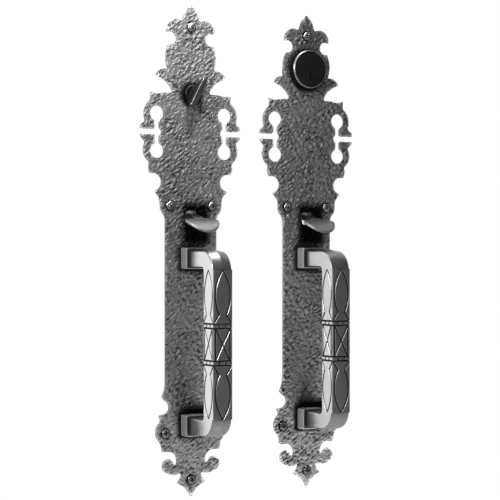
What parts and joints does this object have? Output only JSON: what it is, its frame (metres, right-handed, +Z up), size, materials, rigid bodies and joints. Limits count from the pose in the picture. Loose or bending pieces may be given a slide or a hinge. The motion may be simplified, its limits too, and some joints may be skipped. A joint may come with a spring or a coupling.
{
  "type": "mortise lock handle set",
  "caption": "Ornate black iron door plates in a pair, each with an engraved pull grip and thumb lever; one takes a lock cylinder, the other a thumbturn.",
  "frame": {"origin": "middle of the outside plate's back, on the face of the door", "axes": "+X across the door to the right as seen from the front, +Y into the door, +Z up"},
  "size_m": [0.2438, 0.102, 0.483],
  "materials": {
    "hammered_iron": "hammered, black",
    "black_satin": "smooth casting, satin black",
    "black_cylinder": "blackened, smooth",
    "screw_steel": "blackened steel, rubbed bright at the edges",
    "plain_steel": "plain, turned"
  },
  "bodies": {
    "plates": {"outside_plate": "hammered_iron", "outside_grip": "black_satin", "outside_grip_screws": "plain_steel", "outside_lever_pin": "plain_steel", "outside_plate_screws": "screw_steel", "cylinder_collar": "black_cylinder", "cylinder_shell": "black_cylinder", "inside_plate": "hammered_iron", "inside_grip": "black_satin", "inside_grip_screws": "plain_steel", "inside_lever_pin": "plain_steel", "inside_plate_screws": "screw_steel", "turn_washer": "plain_steel"},
    "outside_lever": {"outside_thumb_lever": "black_satin"},
    "inside_lever": {"inside_thumb_lever": "black_satin"},
    "turn": {"turn_knob": "black_satin", "turn_spindle": "plain_steel", "turn_clip": "plain_steel"},
    "plug": {"cylinder_plug": "black_cylinder", "cylinder_cam": "plain_steel", "cylinder_cam_screws": "plain_steel"}
  },
  "joints": [
    {"name": "outside_lever_tip", "type": "hinge", "parent": "plates", "child": "outside_lever", "pos_m": [0, 0.0056, 0.0365], "axis": [1, 0, 0], "range_deg": [0, 13], "stiffness_Nm_per_rad": 0.05, "springref_deg": -22.92},
    {"name": "inside_lever_tip", "type": "hinge", "parent": "plates", "child": "inside_lever", "pos_m": [-0.133, 0.0056, 0.0365], "axis": [1, 0, 0], "range_deg": [0, 13], "stiffness_Nm_per_rad": 0.05, "springref_deg": -22.92},
    {"name": "thumbturn", "type": "hinge", "parent": "plates", "child": "turn", "pos_m": [-0.133, 0, 0.1545], "axis": [0, 1, 0], "range_deg": [-28, 62]},
    {"name": "plug_turn", "type": "hinge", "parent": "plates", "child": "plug", "pos_m": [0, 0, 0.1807], "axis": [0, 1, 0], "continuous": true}
  ]
}
